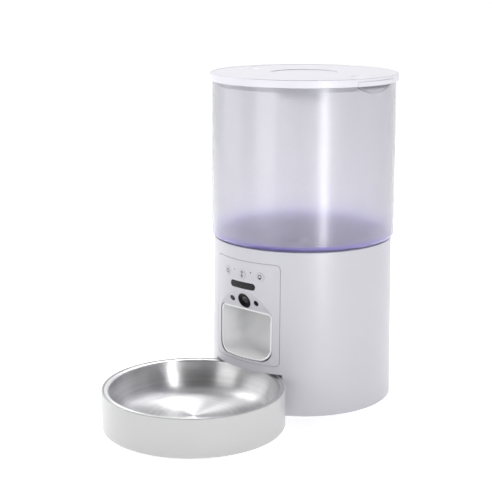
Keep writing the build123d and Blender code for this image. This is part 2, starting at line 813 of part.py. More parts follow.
with BuildPart() as drive_motor:
    with BuildSketch(Plane.XY.offset(motor_low)):
        with Locations((0, motor_y)):
            Circle(motor_radius)
    extrude(amount=gearbox_low - motor_low)
    fillet(drive_motor.edges().filter_by(GeomType.CIRCLE).sort_by(Axis.Z)[0], radius=1.5)
    with BuildSketch(Plane.XY.offset(motor_low)):
        with Locations((-5, motor_y), (5, motor_y)):
            Rectangle(0.8, 3)
    extrude(amount=-5)
    with BuildSketch(Plane.XY.offset(95.5)):
        with Locations((0, motor_y)):
            Circle(1.5 + running_fit)
    extrude(amount=10, mode=Mode.SUBTRACT)
keep(drive_motor, "drive_motor")

with BuildPart() as gearbox_housing:
    with BuildSketch(Plane.XY.offset(gearbox_low)):
        for y, radius in gearbox_circles:
            with Locations((0, y)):
                Circle(radius)
        make_hull()
    extrude(amount=gearbox_high - gearbox_low)
    with BuildSketch(Plane.XY.offset(gearbox_floor)):
        for y, radius in gearbox_circles:
            with Locations((0, y)):
                Circle(radius - 1.4)
        make_hull()
    extrude(amount=20, mode=Mode.SUBTRACT)
    with BuildSketch(Plane.XY.offset(gearbox_low)):
        Circle(shaft_radius + running_fit)
        with Locations((0, motor_y)):
            Circle(1.5 + 0.4)
    extrude(amount=5, mode=Mode.SUBTRACT)
    with BuildSketch(Plane.XY.offset(gearbox_floor - 1.4)):
        with Locations((0, idler_y)):
            Circle(2)
    extrude(amount=5, mode=Mode.SUBTRACT)
keep(gearbox_housing, "gearbox_housing")

with BuildPart() as gearbox_cover:
    with BuildSketch(Plane.XY.offset(gearbox_high)):
        for y, radius in gearbox_circles:
            with Locations((0, y)):
                Circle(radius)
        with Locations(*gearbox_ears):
            Circle(4)
        make_hull()
        Circle(shaft_radius + 0.35, mode=Mode.SUBTRACT)
        with Locations((0, idler_y)):
            Circle(2, mode=Mode.SUBTRACT)
        with Locations(*gearbox_ears):
            Circle(1.35, mode=Mode.SUBTRACT)
    extrude(amount=gearbox_top - gearbox_high)
keep(gearbox_cover, "gearbox_cover")

with BuildPart() as gearbox_screws:
    with BuildSketch(Plane.XY.offset(gearbox_high - 1.6)):
        with Locations(*gearbox_ears):
            Circle(2.5)
    extrude(amount=1.6)
    with BuildSketch(Plane.XY.offset(gearbox_high)):
        with Locations(*gearbox_ears):
            Circle(1.2)
    extrude(amount=5.6)
    with BuildSketch(Plane.XY.offset(gearbox_high - 1.6)):
        with Locations(*gearbox_ears):
            Rectangle(2.8, 0.6)
            Rectangle(0.6, 2.8)
    extrude(amount=0.6, mode=Mode.SUBTRACT)
keep(gearbox_screws, "gearbox_screws")

# =====================================================================================
# Electronics at the back: control board, its chips, speaker, power inlet
# =====================================================================================
with BuildPart() as control_board:
    with BuildSketch(Plane.XZ.offset(-73.6)):
        with Locations((0, 71.2)):
            RectangleRounded(61.4, 50, 1)
    extrude(amount=1.6)
keep(control_board, "control_board")

with BuildPart() as board_chips:
    with BuildSketch(Plane.XZ.offset(-72)):
        with Locations((-12, 78)):
            Rectangle(12, 12)
        with Locations((12, 82)):
            Rectangle(8, 10)
        with Locations((16, 62), (-22, 60)):
            Rectangle(9, 5)
    extrude(amount=1.6)
    with BuildSketch(Plane.XZ.offset(-73.6)):
        with GridLocations(14, 1, 3, 1):
            with Locations((0, 58)):
                Circle(3.2)
    extrude(amount=-6)
keep(board_chips, "board_chips")

with BuildPart() as speaker:
    with BuildSketch(Plane.XZ.offset(-87.0)):
        with Locations((0, 120)):
            Circle(18)
    extrude(amount=4)
    with BuildSketch(Plane.XZ.offset(-83.0)):
        with Locations((0, 120)):
            Circle(10)
    extrude(amount=5)
    with BuildSketch(Plane.XZ.offset(-87.0)):
        with Locations((0, 120)):
            Circle(15)
            Circle(6, mode=Mode.SUBTRACT)
    extrude(amount=1.2, mode=Mode.SUBTRACT)
keep(speaker, "speaker")

inlet_limit = base_solid(0.6)
with BuildPart() as power_jack:
    with BuildSketch(Plane.XZ.offset(-80)):
        with Locations((0, 15)):
            Circle(4.9)
    extrude(amount=-14)
    with BuildSketch(Plane.XZ.offset(-80)):
        with Locations((0, 15)):
            Rectangle(12, 12)
    extrude(amount=-8)
    add(inlet_limit, mode=Mode.INTERSECT)
    with BuildSketch(Plane.XZ.offset(-83)):
        with Locations((0, 15)):
            Circle(2.75)
            Circle(1.05, mode=Mode.SUBTRACT)
    extrude(amount=-14, mode=Mode.SUBTRACT)
    with BuildSketch(Plane.XZ.offset(-91.5)):
        with Locations((0, 15)):
            Circle(2.0)
    extrude(amount=-4, mode=Mode.SUBTRACT)
keep(power_jack, "power_jack")

# =====================================================================================
# Battery bay: box, cells in alternate directions, contacts, and the door under them
# =====================================================================================
bay_length = bay_back - bay_front
bay_middle = (bay_front + bay_back) / 2
with BuildPart() as battery_box:
    with BuildSketch(Plane.XY.offset(plate_high)):
        with Locations((0, bay_middle)):
            Rectangle(2 * (bay_half_width + bay_wall), bay_length + 2 * bay_wall)
    extrude(amount=bay_high + bay_wall - plate_high)
    with BuildSketch(Plane.XY.offset(plate_high)):
        with Locations((0, bay_middle)):
            Rectangle(2 * bay_half_width, bay_length)
    extrude(amount=bay_high - plate_high, mode=Mode.SUBTRACT)
    # Room round the door's pin bosses.
    with BuildSketch(Plane.XY.offset(plate_high)):
        with Locations((-37, door_pivot_y), (37, door_pivot_y)):
            Rectangle(6, 6)
    extrude(amount=2.0, mode=Mode.SUBTRACT)
    # Low ribs between the cells.
    with BuildSketch(Plane.XY.offset(bay_high - 4)):
        for left, right in zip(cell_rows, cell_rows[1:]):
            with Locations((0, (left + right) / 2)):
                Rectangle(2 * bay_half_width, 1.2)
    extrude(amount=4)
keep(battery_box, "battery_box")

nub_length, plate_thickness = 1.8, 0.5
cell_end = bay_half_width - plate_thickness - nub_length
with BuildPart() as battery_cells:
    for index, row in enumerate(cell_rows):
        side = 1 if index % 2 == 0 else -1
        with BuildSketch(Plane.YZ.offset(side * cell_end)):
            with Locations((row, cell_height)):
                Circle(cell_radius)
        extrude(amount=-side * cell_length)
        with BuildSketch(Plane.YZ.offset(side * cell_end)):
            with Locations((row, cell_height)):
                Circle(4.6)
        extrude(amount=side * nub_length)
    fillet(battery_cells.edges().filter_by(GeomType.CIRCLE).filter_by(lambda e: e.radius > 10), radius=1.2)
keep(battery_cells, "battery_cells")

with BuildPart() as contact_plates:
    for side in (-1, 1):
        with BuildSketch(Plane.YZ.offset(side * bay_half_width)):
            with Locations(*[(row, cell_height) for row in cell_rows]):
                Rectangle(13, 13)
        extrude(amount=-side * plate_thickness)
keep(contact_plates, "contact_plates")

spring_wire = 0.5
spring_length = 2 * bay_half_width - 2 * plate_thickness - nub_length - cell_length - 2 * spring_wire - 0.2
with BuildPart() as contact_springs:
    for index, row in enumerate(cell_rows):
        side = 1 if index % 2 == 0 else -1
        start = side * (plate_thickness + spring_wire + 0.1 - bay_half_width)
        with BuildLine():
            Helix(
                pitch=spring_length / 2.5,
                height=spring_length,
                radius=5.0,
                center=(start, row, cell_height),
                direction=(side, 0, 0),
            )
        coil = contact_springs.pending_edges[-1]
        with BuildSketch(Plane(origin=coil @ 0, z_dir=coil % 0)):
            Circle(spring_wire)
        sweep(is_frenet=True)
keep(contact_springs, "contact_springs")

door_thickness = plate_high - plate_low
door_front = bay_front + 0.5
with BuildPart() as battery_door:
    with BuildSketch(Plane.XY.offset(plate_low)):
        with Locations((0, (door_front + door_pivot_y) / 2)):
            Rectangle(2 * bay_half_width - 0.8, door_pivot_y - door_front)
    extrude(amount=door_thickness)
    with BuildSketch(Plane.YZ.offset(0.4 - bay_half_width)):
        with Locations((door_pivot_y, door_pivot_z)):
            Circle(door_thickness / 2)
    extrude(amount=2 * bay_half_width - 0.8)
    with BuildSketch(Plane.YZ.offset(-37.4)):
        with Locations((door_pivot_y, door_pivot_z)):
            Circle(0.8)
    extrude(amount=74.8)
    # Finger notch at the front edge.
    with BuildSketch(Plane.XY.offset(plate_low)):
        with Locations((0, door_front)):
            SlotOverall(18, 6)
    extrude(amount=1.2, mode=Mode.SUBTRACT)
keep(battery_door, "battery_door")

# =====================================================================================
# Tray and bowl
# =====================================================================================
tray_floor = tray_low + 2.4
with BuildPart() as bowl_tray:
    with BuildSketch(bowl_plane):
        Polygon(
            (0, tray_low),
            (tray_radius, tray_low),
            (tray_radius, tray_height),
            (tray_radius - tray_wall, tray_height),
            (tray_radius - tray_wall, rim_ledge_height),
            (rim_ledge_radius, rim_ledge_height),
            (rim_ledge_radius, rim_ledge_height - 1.6),
            (tray_radius - tray_wall, rim_ledge_height - 4.0),
            (tray_radius - tray_wall, tray_floor),
            (0, tray_floor),
            align=None,
        )
    revolve(axis=bowl_axis)
    rims = bowl_tray.edges().filter_by(GeomType.CIRCLE)
    fillet(rims.group_by(Axis.Z)[-1], radius=0.9)
    fillet(rims.group_by(Axis.Z)[0], radius=1.8)
    # Tongue that docks in the base.
    with BuildSketch(Plane.XY.offset(tongue_low)):
        with Locations((0, -bowl_offset + tray_radius + 2)):
            RectangleRounded(2 * tongue_half_width, 10, 1.5)
    extrude(amount=tongue_high - tongue_low)
    with BuildSketch(Plane.XY.offset(tongue_low)):
        with Locations((0, -bowl_offset + tray_radius - tray_wall - 8)):
            Rectangle(2 * tongue_half_width + 4, 16)
    extrude(amount=tongue_high - tongue_low, mode=Mode.SUBTRACT)
    # Seats for the feet.
    with BuildSketch(Plane.XY.offset(tray_low)):
        with Locations((0, -bowl_offset)):
            with PolarLocations(70, 4, start_angle=45):
                Circle(6.1)
    extrude(amount=1.2, mode=Mode.SUBTRACT)
keep(bowl_tray, "bowl_tray")

with BuildPart() as tray_feet:
    with BuildSketch(Plane.XY):
        with Locations((0, -bowl_offset)):
            with PolarLocations(70, 4, start_angle=45):
                Circle(6.0)
    extrude(amount=tray_low + 1.2)
    chamfer(tray_feet.edges().group_by(Axis.Z)[0], length=0.3)
keep(tray_feet, "tray_feet")

bowl_rim_high = rim_ledge_height + steel_thickness
bowl_rim_radius = tray_radius - tray_wall - 0.35
bowl_floor = 11.7
with BuildPart() as steel_bowl:
    with BuildSketch(bowl_plane):
        with BuildLine():
            flange = Line((bowl_rim_radius, bowl_rim_high), (84.2, bowl_rim_high))
            shoulder = TangentArc(flange @ 1, (82.2, bowl_rim_high - 2.0), tangent=flange % 1)
            wall = Spline(
                shoulder @ 1,
                (77.6, 23.7),
                (62.0, bowl_floor),
                tangents=[shoulder % 1, (-1, 0)],
            )
            floor = Line(wall @ 1, (0, bowl_floor))
            centre = Line(floor @ 1, (0, bowl_floor - steel_thickness))
            under = Line(centre @ 1, (62.0, bowl_floor - steel_thickness))
            outer_wall = Spline(
                under @ 1,
                (78.2, 23.2),
                (82.2 + steel_thickness, bowl_rim_high - 2.0),
                tangents=[(1, 0), (0.02, 1)],
            )
            lip_under = TangentArc(
                outer_wall @ 1, (84.2, bowl_rim_high - steel_thickness), tangent=(0, 1))
            Line(lip_under @ 1, (bowl_rim_radius, bowl_rim_high - steel_thickness))
            Line((bowl_rim_radius, bowl_rim_high - steel_thickness), flange @ 0)
        make_face()
    revolve(axis=bowl_axis)
keep(steel_bowl, "steel_bowl")

# =====================================================================================
# Hopper: a tapered tank with a rounded foot, a funnel floor, a neck, and two finger scoops
# =====================================================================================
scoop_slope = tan(radians(scoop_tilt))
scoop_x = hopper_top_radius + (hopper_foot_radius - hopper_top_radius) * (hopper_rim - scoop_apex) / 160
scoop_rim_x = scoop_x - (hopper_rim - scoop_apex) * scoop_slope
scoop_wall = hopper_wall / cos(radians(scoop_tilt))
funnel_edge, funnel_high = 84.0, 171.0

with BuildPart() as hopper_body:
    with BuildSketch(radial_plane(0)) as hopper_outline:
        Polygon(
            (0, neck_low),
            (neck_outer, neck_low),
            (neck_outer, 149.4),
            (funnel_edge, seam_height),
            (hopper_foot_radius + 0.06, seam_height),
            (hopper_top_radius, hopper_rim),
            (0, hopper_rim),
            align=None,
        )
        foot = hopper_outline.vertices().sort_by_distance((hopper_foot_radius, seam_height))[0]
        fillet(foot, radius=hopper_corner)
    revolve(axis=Axis.Z)
    # The scoops are flat cuts that lean inwards below each latch.
    with BuildSketch(Plane.XZ):
        for side in (-1, 1):
            Polygon(
                (side * scoop_x, scoop_apex),
                (side * (scoop_x + 20), scoop_apex),
                (side * (scoop_x + 20), hopper_rim + 2),
                (side * (scoop_rim_x - 2 * scoop_slope), hopper_rim + 2),
                align=None,
            )
    extrude(amount=60, both=True, mode=Mode.SUBTRACT)

with BuildPart() as hopper_space:
    with BuildSketch(radial_plane(0)) as space_outline:
        Polygon(
            (0, neck_low - 1),
            (neck_inner, neck_low - 1),
            (neck_inner, 151.9),
            (funnel_edge + 0.5, funnel_high),
            (hopper_foot_radius - hopper_wall, funnel_high),
            (hopper_top_radius - hopper_wall, hopper_rim + 2),
            (0, hopper_rim + 2),
            align=None,
        )
        inner_corner = (hopper_foot_radius - hopper_wall, funnel_high)
        fillet(space_outline.vertices().sort_by_distance(inner_corner)[0], radius=2.5)
    revolve(axis=Axis.Z)
    with BuildSketch(Plane.XZ):
        for side in (-1, 1):
            Polygon(
                (side * (scoop_x - scoop_wall), scoop_apex - 4),
                (side * (scoop_x + 20), scoop_apex - 4),
                (side * (scoop_x + 20), hopper_rim + 3),
                (side * (scoop_rim_x - scoop_wall - 3 * scoop_slope), hopper_rim + 3),
                (side * (scoop_x - scoop_wall), scoop_apex),
                align=None,
            )
    extrude(amount=60, both=True, mode=Mode.SUBTRACT)

with BuildPart() as hopper:
    add(hopper_body.part)
    add(hopper_space.part, mode=Mode.SUBTRACT)
    fillet(hopper.edges().filter_by(GeomType.CIRCLE).group_by(Axis.Z)[-1], radius=0.5)
keep(hopper, "hopper")

with BuildPart() as hopper_seal:
    with BuildSketch(radial_plane(0)):
        Polygon(
            (seal_inner, seal_seat),
            (seal_outer, seal_seat),
            (seal_outer, seam_height - 0.4),
            (seal_outer - 0.6, seam_height),
            (seal_inner + 0.6, seam_height),
            (seal_inner, seam_height - 0.4),
            align=None,
        )
    revolve(axis=Axis.Z)
keep(hopper_seal, "hopper_seal")

# =====================================================================================
# Lid: top with its lip, latches, liner, gasket, screws and desiccant box
# =====================================================================================
rim_band = 1.5
dimple_centre = 67.5
recess_disc_radius, recess_disc_depth = 34.0, 0.6

with BuildPart(mode=Mode.PRIVATE) as dimple:
    Sphere(10)
dimple_form = scale(dimple.part, by=(0.8, 1.2, 0.5))

with BuildPart() as lid_top:
    with BuildSketch(radial_plane(0)):
        Polygon(
            (0, lid_plate_low),
            (lip_inner, lid_plate_low),
            (lip_inner, lip_low),
            (lid_radius, lip_low),
            (lid_radius, total_height),
            (lid_radius - rim_band, total_height),
            (lid_radius - rim_band - 0.6, lid_surface),
            (0, lid_surface),
            align=None,
        )
    revolve(axis=Axis.Z)
    rims = lid_top.edges().filter_by(GeomType.CIRCLE).filter_by(lambda e: e.radius > lid_radius - 0.1)
    fillet(rims, radius=0.7)
    with BuildSketch(Plane.XY.offset(lid_surface)):
        Circle(recess_disc_radius)
    extrude(amount=-recess_disc_depth, mode=Mode.SUBTRACT)
    for side in (-1, 1):
        add(dimple_form.moved(Location((side * dimple_centre, 0, lid_surface + 3.5))), mode=Mode.SUBTRACT)
    # Gaps in the lip for the latches.
    with BuildSketch(Plane.XY.offset(lip_low)):
        with Locations((-lid_radius, 0), (lid_radius, 0)):
            Rectangle(16, 2 * latch_half_width + 0.8)
    extrude(amount=lid_plate_low - lip_low, mode=Mode.SUBTRACT)
keep(lid_top, "lid_top")

web_half_width, web_low, leg_outer = 9.0, 329.9, 84.2
for label, side in (("latch_left", -1), ("latch_right", 1)):
    with BuildPart() as latch:
        with BuildSketch(Plane.XY.offset(lip_low + 0.05)):
            Circle(lid_radius)
            Circle(lip_inner, mode=Mode.SUBTRACT)
            with Locations((side * lid_radius, 0)):
                Rectangle(30, 2 * latch_half_width, mode=Mode.INTERSECT)
        extrude(amount=lid_plate_low - 0.4 - lip_low)
        # The tab's ends are thinner inside, so that they clear the hopper's rim when it is pressed.
        with BuildSketch(Plane.XY.offset(lip_low)):
            Circle(lip_inner + 1.0)
            Rectangle(2 * lid_radius, 2 * (latch_half_width - 6.5), mode=Mode.SUBTRACT)
        extrude(amount=gasket_high + 0.2 - lip_low, mode=Mode.SUBTRACT)
        with BuildSketch(Plane.XY.offset(web_low)):
            with Locations((side * (lip_inner + leg_outer) / 2, 0)):
                Rectangle(lip_inner - leg_outer + 1.5, 2 * web_half_width)
        extrude(amount=lid_plate_low - 0.35 - web_low)
        with BuildSketch(Plane.XY.offset(liner_low)):
            with Locations((side * (leg_outer - 0.8), 0)):
                Rectangle(1.6, 2 * web_half_width)
        extrude(amount=lid_plate_low - 0.35 - liner_low)
    keep(latch, label)

liner_radius, plug_radius, plug_flat = 92.5, 88.0, 84.6
with BuildPart() as lid_liner:
    with BuildSketch(Plane.XY.offset(gasket_high)):
        Circle(liner_radius)
    extrude(amount=lid_plate_low - gasket_high)
    with BuildSketch(Plane.XY.offset(gasket_high)):
        with Locations((-liner_radius, 0), (liner_radius, 0)):
            Rectangle(2 * (liner_radius - 86.8), 2 * latch_half_width + 1.2)
    extrude(amount=lid_plate_low - gasket_high, mode=Mode.SUBTRACT)
    with BuildSketch(Plane.XY.offset(liner_low)):
        Circle(plug_radius)
        Rectangle(2 * plug_flat, 200, mode=Mode.INTERSECT)
    extrude(amount=gasket_high - liner_low)
    with BuildSketch(Plane.XY.offset(liner_low)):
        Circle(plug_radius - 2)
        Rectangle(2 * plug_flat - 4, 200, mode=Mode.INTERSECT)
    extrude(amount=gasket_high - liner_low, mode=Mode.SUBTRACT)
    # Pockets for the latches' webs and legs.
    with BuildSketch(Plane.XY.offset(liner_low - 1)):
        with Locations((-90, 0), (90, 0)):
            Rectangle(2 * (90 - 80.6), 2 * web_half_width + 1.0)
    extrude(amount=20, mode=Mode.SUBTRACT)
    # Seat for the desiccant box.
    with BuildSketch(Plane.XY.offset(gasket_high - 2)):
        Circle(28.2)
        Circle(26.2, mode=Mode.SUBTRACT)
    extrude(amount=2)
    with BuildSketch(Plane.XY.offset(gasket_high)):
        with Locations(*around(60, (45, 135, 225, 315))):
            Circle(1.4)
    extrude(amount=5, mode=Mode.SUBTRACT)
keep(lid_liner, "lid_liner")

with BuildPart() as lid_gasket:
    with BuildSketch(Plane.XY.offset(hopper_rim)):
        Circle(hopper_top_radius - 0.3)
        Rectangle(2 * (scoop_rim_x - 0.3), 200, mode=Mode.INTERSECT)
    extrude(amount=gasket_high - hopper_rim)
    with BuildSketch(Plane.XY.offset(hopper_rim)):
        Circle(hopper_top_radius - hopper_wall + 0.2)
        Rectangle(2 * (scoop_rim_x - scoop_wall + 0.3), 200, mode=Mode.INTERSECT)
    extrude(amount=gasket_high - hopper_rim, mode=Mode.SUBTRACT)
keep(lid_gasket, "lid_gasket")

with BuildPart() as lid_screws:
    with BuildSketch(Plane.XY.offset(gasket_high - 1.5)):
        with Locations(*around(60, (45, 135, 225, 315))):
            Circle(2.5)
    extrude(amount=1.5)
    with BuildSketch(Plane.XY.offset(gasket_high)):
        with Locations(*around(60, (45, 135, 225, 315))):
            Circle(1.35)
    extrude(amount=lid_plate_low - gasket_high)
    with BuildSketch(Plane.XY.offset(gasket_high - 1.5)):
        with Locations(*around(60, (45, 135, 225, 315))):
            Rectangle(2.8, 0.6)
            Rectangle(0.6, 2.8)
    extrude(amount=0.6, mode=Mode.SUBTRACT)
keep(lid_screws, "lid_screws")

desiccant_low, desiccant_radius = 312.0, 26.0
with BuildPart() as desiccant_box:
    with BuildSketch(Plane.XY.offset(desiccant_low)):
        Circle(desiccant_radius)
    extrude(amount=gasket_high - desiccant_low)
    with BuildSketch(Plane.XY.offset(desiccant_low)):
        Circle(desiccant_radius - 1.6)
    extrude(amount=gasket_high - desiccant_low - 1.6, mode=Mode.SUBTRACT)
keep(desiccant_box, "desiccant_box")

with BuildPart() as desiccant_cover:
    with BuildSketch(Plane.XY.offset(desiccant_low - 2.0)):
        Circle(desiccant_radius)
        with PolarLocations(14, 8, start_angle=22.5):
            SlotOverall(12, 2.4, mode=Mode.SUBTRACT)
    extrude(amount=1.8)
    with BuildSketch(Plane.XY.offset(desiccant_low - 0.2)):
        Circle(desiccant_radius - 2.0)
        Circle(desiccant_radius - 3.2, mode=Mode.SUBTRACT)
    extrude(amount=4)
    with BuildSketch(Plane.XY.offset(desiccant_low - 5.0)):
        Rectangle(44, 2.4)
        Circle(5)
    extrude(amount=3.0)
keep(desiccant_cover, "desiccant_cover")
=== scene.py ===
import json
import math

import bpy
from mathutils import Matrix, Vector
from mathutils.bvhtree import BVHTree


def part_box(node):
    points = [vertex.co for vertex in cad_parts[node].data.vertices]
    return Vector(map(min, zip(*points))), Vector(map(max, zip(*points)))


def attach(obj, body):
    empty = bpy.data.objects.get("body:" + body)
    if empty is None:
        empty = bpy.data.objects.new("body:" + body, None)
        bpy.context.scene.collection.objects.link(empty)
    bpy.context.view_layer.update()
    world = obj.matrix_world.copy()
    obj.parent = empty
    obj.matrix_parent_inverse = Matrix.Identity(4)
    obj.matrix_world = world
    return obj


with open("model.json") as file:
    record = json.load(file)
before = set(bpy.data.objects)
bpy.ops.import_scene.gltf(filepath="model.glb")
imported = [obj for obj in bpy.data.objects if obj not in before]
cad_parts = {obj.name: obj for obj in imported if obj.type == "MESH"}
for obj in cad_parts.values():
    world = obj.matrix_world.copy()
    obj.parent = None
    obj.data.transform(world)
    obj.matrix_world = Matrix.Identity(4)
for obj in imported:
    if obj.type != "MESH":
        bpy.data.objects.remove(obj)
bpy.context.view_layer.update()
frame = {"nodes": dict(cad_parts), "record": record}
nodes = frame["nodes"]

MM = 1e-3  # metres

# The camera stands where the photo's did. Azimuth 0 looks at the front and 90 at the object's left side.
VIEW_AZIMUTH = 43.1
VIEW_ELEVATION = 12.97
VIEW_DISTANCE = 1.2759
VIEW_LENS = 89.7
AIM_SIDEWAYS = -0.05861
AIM_HEIGHT = 0.15417

BACKDROP = 1.06  # brightness behind the object and at the horizon, just enough to render white
CAMERA_SIDE = 0.08  # brightness of the dim room behind the camera
FLOOR_HALF = 60.0


def middle(node):
    """The centre of a node's box."""
    low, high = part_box(node)
    return (Vector(low) + Vector(high)) / 2


def outward_way(azimuth, elevation):
    """The unit direction from the object at an azimuth and elevation in degrees."""
    a, e = math.radians(azimuth), math.radians(elevation)
    return Vector((math.sin(a) * math.cos(e), -math.cos(a) * math.cos(e), math.sin(e)))


def add_object(name, data):
    made = bpy.data.objects.new(name, data)
    bpy.context.scene.collection.objects.link(made)
    return made


# ---------------------------------------------------------------- shader helpers
class Shader:
    """A material with one Principled shader and short ways to feed it."""

    def __init__(self, name):
        self.material = bpy.data.materials.new(name)
        self.material.use_nodes = True
        self.tree = self.material.node_tree
        self.tree.nodes.clear()
        self.out = self.tree.nodes.new("ShaderNodeOutputMaterial")
        self.bsdf = self.tree.nodes.new("ShaderNodeBsdfPrincipled")
        self.tree.links.new(self.bsdf.outputs[0], self.out.inputs["Surface"])
        self.place = self.tree.nodes.new("ShaderNodeTexCoord").outputs["Object"]
        self.height = None

    def node(self, kind, **settings):
        made = self.tree.nodes.new(kind)
        for key, value in settings.items():
            setattr(made, key, value)
        return made

    def link(self, a, b):
        self.tree.links.new(a, b)

    def set(self, **values):
        for key, value in values.items():
            self.bsdf.inputs[key.replace("_", " ")].default_value = value

    def noise(self, scale, detail):
        """Noise in the object's own space, with so many cells per metre."""
        made = self.node("ShaderNodeTexNoise")
        made.inputs["Scale"].default_value = scale
        made.inputs["Detail"].default_value = detail
        self.link(self.place, made.inputs["Vector"])
        return made.outputs["Fac"]

    def rings(self, source, scale, detail):
        """Noise along one number, here a distance from an axis."""
        made = self.node("ShaderNodeTexNoise", noise_dimensions="1D")
        made.inputs["Scale"].default_value = scale
        made.inputs["Detail"].default_value = detail
        self.link(source, made.inputs["W"])
        return made.outputs["Fac"]

    def split(self, source):
        made = self.node("ShaderNodeSeparateXYZ")
        self.link(source, made.inputs[0])
        return made.outputs

    def vector(self, operation, source, other, output=0):
        made = self.node("ShaderNodeVectorMath", operation=operation)
        self.link(source, made.inputs[0])
        made.inputs[1].default_value = other
        return made.outputs[output]

    def span(self, source, low, high, start=0.3, end=0.7):
        """Maps start to end onto low to high, and holds it there beyond."""
        made = self.node("ShaderNodeMapRange")
        self.link(source, made.inputs["Value"])
        made.inputs["From Min"].default_value = start
        made.inputs["From Max"].default_value = end
        made.inputs["To Min"].default_value = low
        made.inputs["To Max"].default_value = high
        return made.outputs[0]

    def math(self, operation, a, b):
        made = self.node("ShaderNodeMath", operation=operation)
        for socket, value in zip(made.inputs, (a, b)):
            if isinstance(value, (int, float)):
                socket.default_value = value
            else:
                self.link(value, socket)
        return made.outputs[0]

    def ramp(self, source, *stops):
        made = self.node("ShaderNodeValToRGB")
        self.link(source, made.inputs[0])
        bar = made.color_ramp
        while len(bar.elements) < len(stops):
            bar.elements.new(0.5)
        for element, (place, colour) in zip(bar.elements, stops):
            element.position = place
            element.color = (*colour, 1.0)
        return made.outputs[0]

    def bump(self, height, distance, strength):
        """Adds a relief on top of any that is there already."""
        made = self.node("ShaderNodeBump")
        made.inputs["Strength"].default_value = strength
        made.inputs["Distance"].default_value = distance
        self.link(height, made.inputs["Height"])
        if self.height:
            self.link(self.height, made.inputs["Normal"])
        self.height = made.outputs[0]
        self.link(self.height, self.bsdf.inputs["Normal"])

    def colour(self, socket):
        self.link(socket, self.bsdf.inputs["Base Color"])

    def rough(self, socket):
        self.link(socket, self.bsdf.inputs["Roughness"])


def moulded(name, light, dark, rough, spread=0.04, grain=2600, depth=1.2e-5, **constants):
    """Injection-moulded plastic: faint tone drift, spark-eroded grain and a slow waviness in the gloss."""
    s = Shader(name)
    s.colour(s.ramp(s.noise(11, 3), (0.3, dark), (0.7, light)))
    s.rough(s.span(s.noise(70, 4), rough - spread, rough + spread))
    s.bump(s.noise(14, 1), 2.0e-4, 0.04)
    s.bump(s.noise(grain, 2), depth, 0.35)
    s.set(**constants)
    return s


def turned(name, light, dark, rough, centre=(0, 0, 0), lines=5200, depth=6e-6, **constants):
    """Metal spun or turned about a vertical axis through a centre: fine rings that vary in gloss."""
    s = Shader(name)
    shift = s.vector("SUBTRACT", s.place, centre)
    radius = s.vector("LENGTH", s.vector("MULTIPLY", shift, (1, 1, 0)), (0, 0, 0), "Value")
    along = s.math("ADD", radius, s.math("MULTIPLY", s.split(shift)["Z"], 0.8))
    fine = s.rings(along, lines, 3.0)
    broad = s.rings(along, lines / 18, 2.0)
    tone = s.math("ADD", s.math("MULTIPLY", fine, 0.6), s.math("MULTIPLY", broad, 0.4))
    s.colour(s.ramp(tone, (0.36, dark), (0.62, light)))
    s.rough(s.span(fine, rough - 0.06, rough + 0.08))
    s.bump(fine, depth, 0.6)
    s.set(Metallic=1.0, **constants)
    return s


# ---------------------------------------------------------------- finishes by material slot
finishes = {}

satin = (0.535, 0.53, 0.572)
satin_low = (0.52, 0.515, 0.557)
finishes["white_shell"] = moulded("satin_white_shell", satin, satin_low, 0.34, Specular_IOR_Level=0.8)
finishes["white_panel"] = moulded("satin_white_panel", satin, satin_low, 0.32, Specular_IOR_Level=0.8)
finishes["button_white"] = moulded("satin_white_buttons", satin, satin_low, 0.33, depth=6e-6)
finishes["lid_white"] = moulded(
    "satin_white_lid", (0.71, 0.70, 0.755), (0.69, 0.68, 0.735), 0.32, spread=0.02, depth=8e-6
)
finishes["tray_white"] = moulded(
    "satin_white_tray", (0.55, 0.55, 0.552), (0.535, 0.535, 0.537), 0.30, spread=0.02, depth=8e-6
)
# Painted light: the chute's white is lighter than the other white parts to brighten its shaded inside; it is
# also glossier.
finishes["chute_white"] = moulded(
    "glossy_white_chute_painted_light", (0.86, 0.86, 0.865), (0.845, 0.845, 0.85), 0.22, depth=5e-6
)
finishes["inner_plastic"] = moulded(
    "moulded_inner", (0.74, 0.74, 0.77), (0.70, 0.70, 0.73), 0.46, depth=3e-5
)
finishes["rotor_plastic"] = moulded(
    "moulded_rotor", (0.56, 0.56, 0.62), (0.52, 0.52, 0.58), 0.42, depth=2.5e-5
)
finishes["gear_plastic"] = moulded(
    "acetal_gears", (0.74, 0.70, 0.58), (0.68, 0.64, 0.52), 0.38, depth=2e-5
)
finishes["rubber_grey"] = moulded(
    "rubber_grey", (0.13, 0.13, 0.14), (0.09, 0.09, 0.10), 0.72, spread=0.08, grain=1800, depth=5e-5
)
finishes["silicone"] = moulded(
    "milky_silicone",
    (0.66, 0.66, 0.68),
    (0.60, 0.60, 0.62),
    0.58,
    spread=0.06,
    grain=1600,
    depth=3e-5,
    Subsurface_Weight=0.15,
)
finishes["black_gloss"] = moulded(
    "black_gloss",
    (0.016, 0.016, 0.019),
    (0.010, 0.010, 0.012),
    0.16,
    spread=0.05,
    grain=900,
    depth=4e-6,
    Specular_IOR_Level=0.22,
)
finishes["chip_black"] = moulded(
    "epoxy_black", (0.035, 0.035, 0.037), (0.02, 0.02, 0.022), 0.5, spread=0.08, grain=3200, depth=3e-5
)
